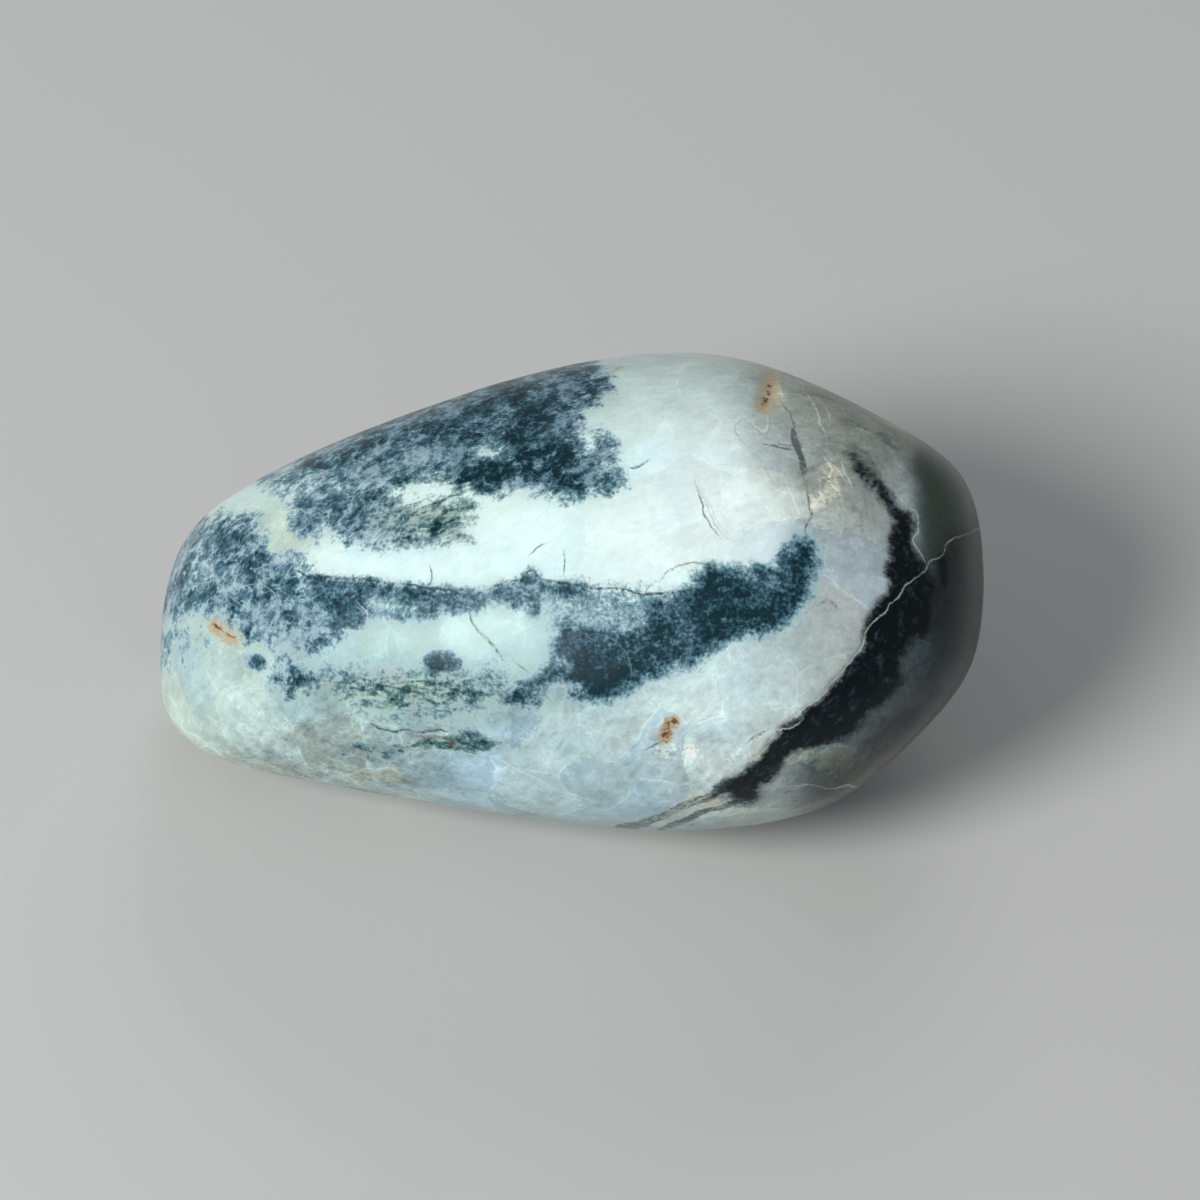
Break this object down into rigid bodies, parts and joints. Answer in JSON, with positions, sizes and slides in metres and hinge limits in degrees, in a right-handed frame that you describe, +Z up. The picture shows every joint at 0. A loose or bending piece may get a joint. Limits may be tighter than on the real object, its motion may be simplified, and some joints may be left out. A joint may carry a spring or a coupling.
{
  "type": "jadeite pebble",
  "caption": "Smooth egg-shaped river pebble of white, mint and slate-grey jadeite with a black band, lying on its side on a small worn flat.",
  "frame": {"origin": "Middle of the stone's outline seen from above, on the surface it rests on.", "axes": "+X towards the wide end, -Y the face with the best markings, +Z up."},
  "size_m": [0.1005, 0.0636, 0.0509],
  "materials": {
    "jadeite": "waxy satin polish"
  },
  "bodies": {
    "root": {"stone": "jadeite"}
  },
  "joints": []
}
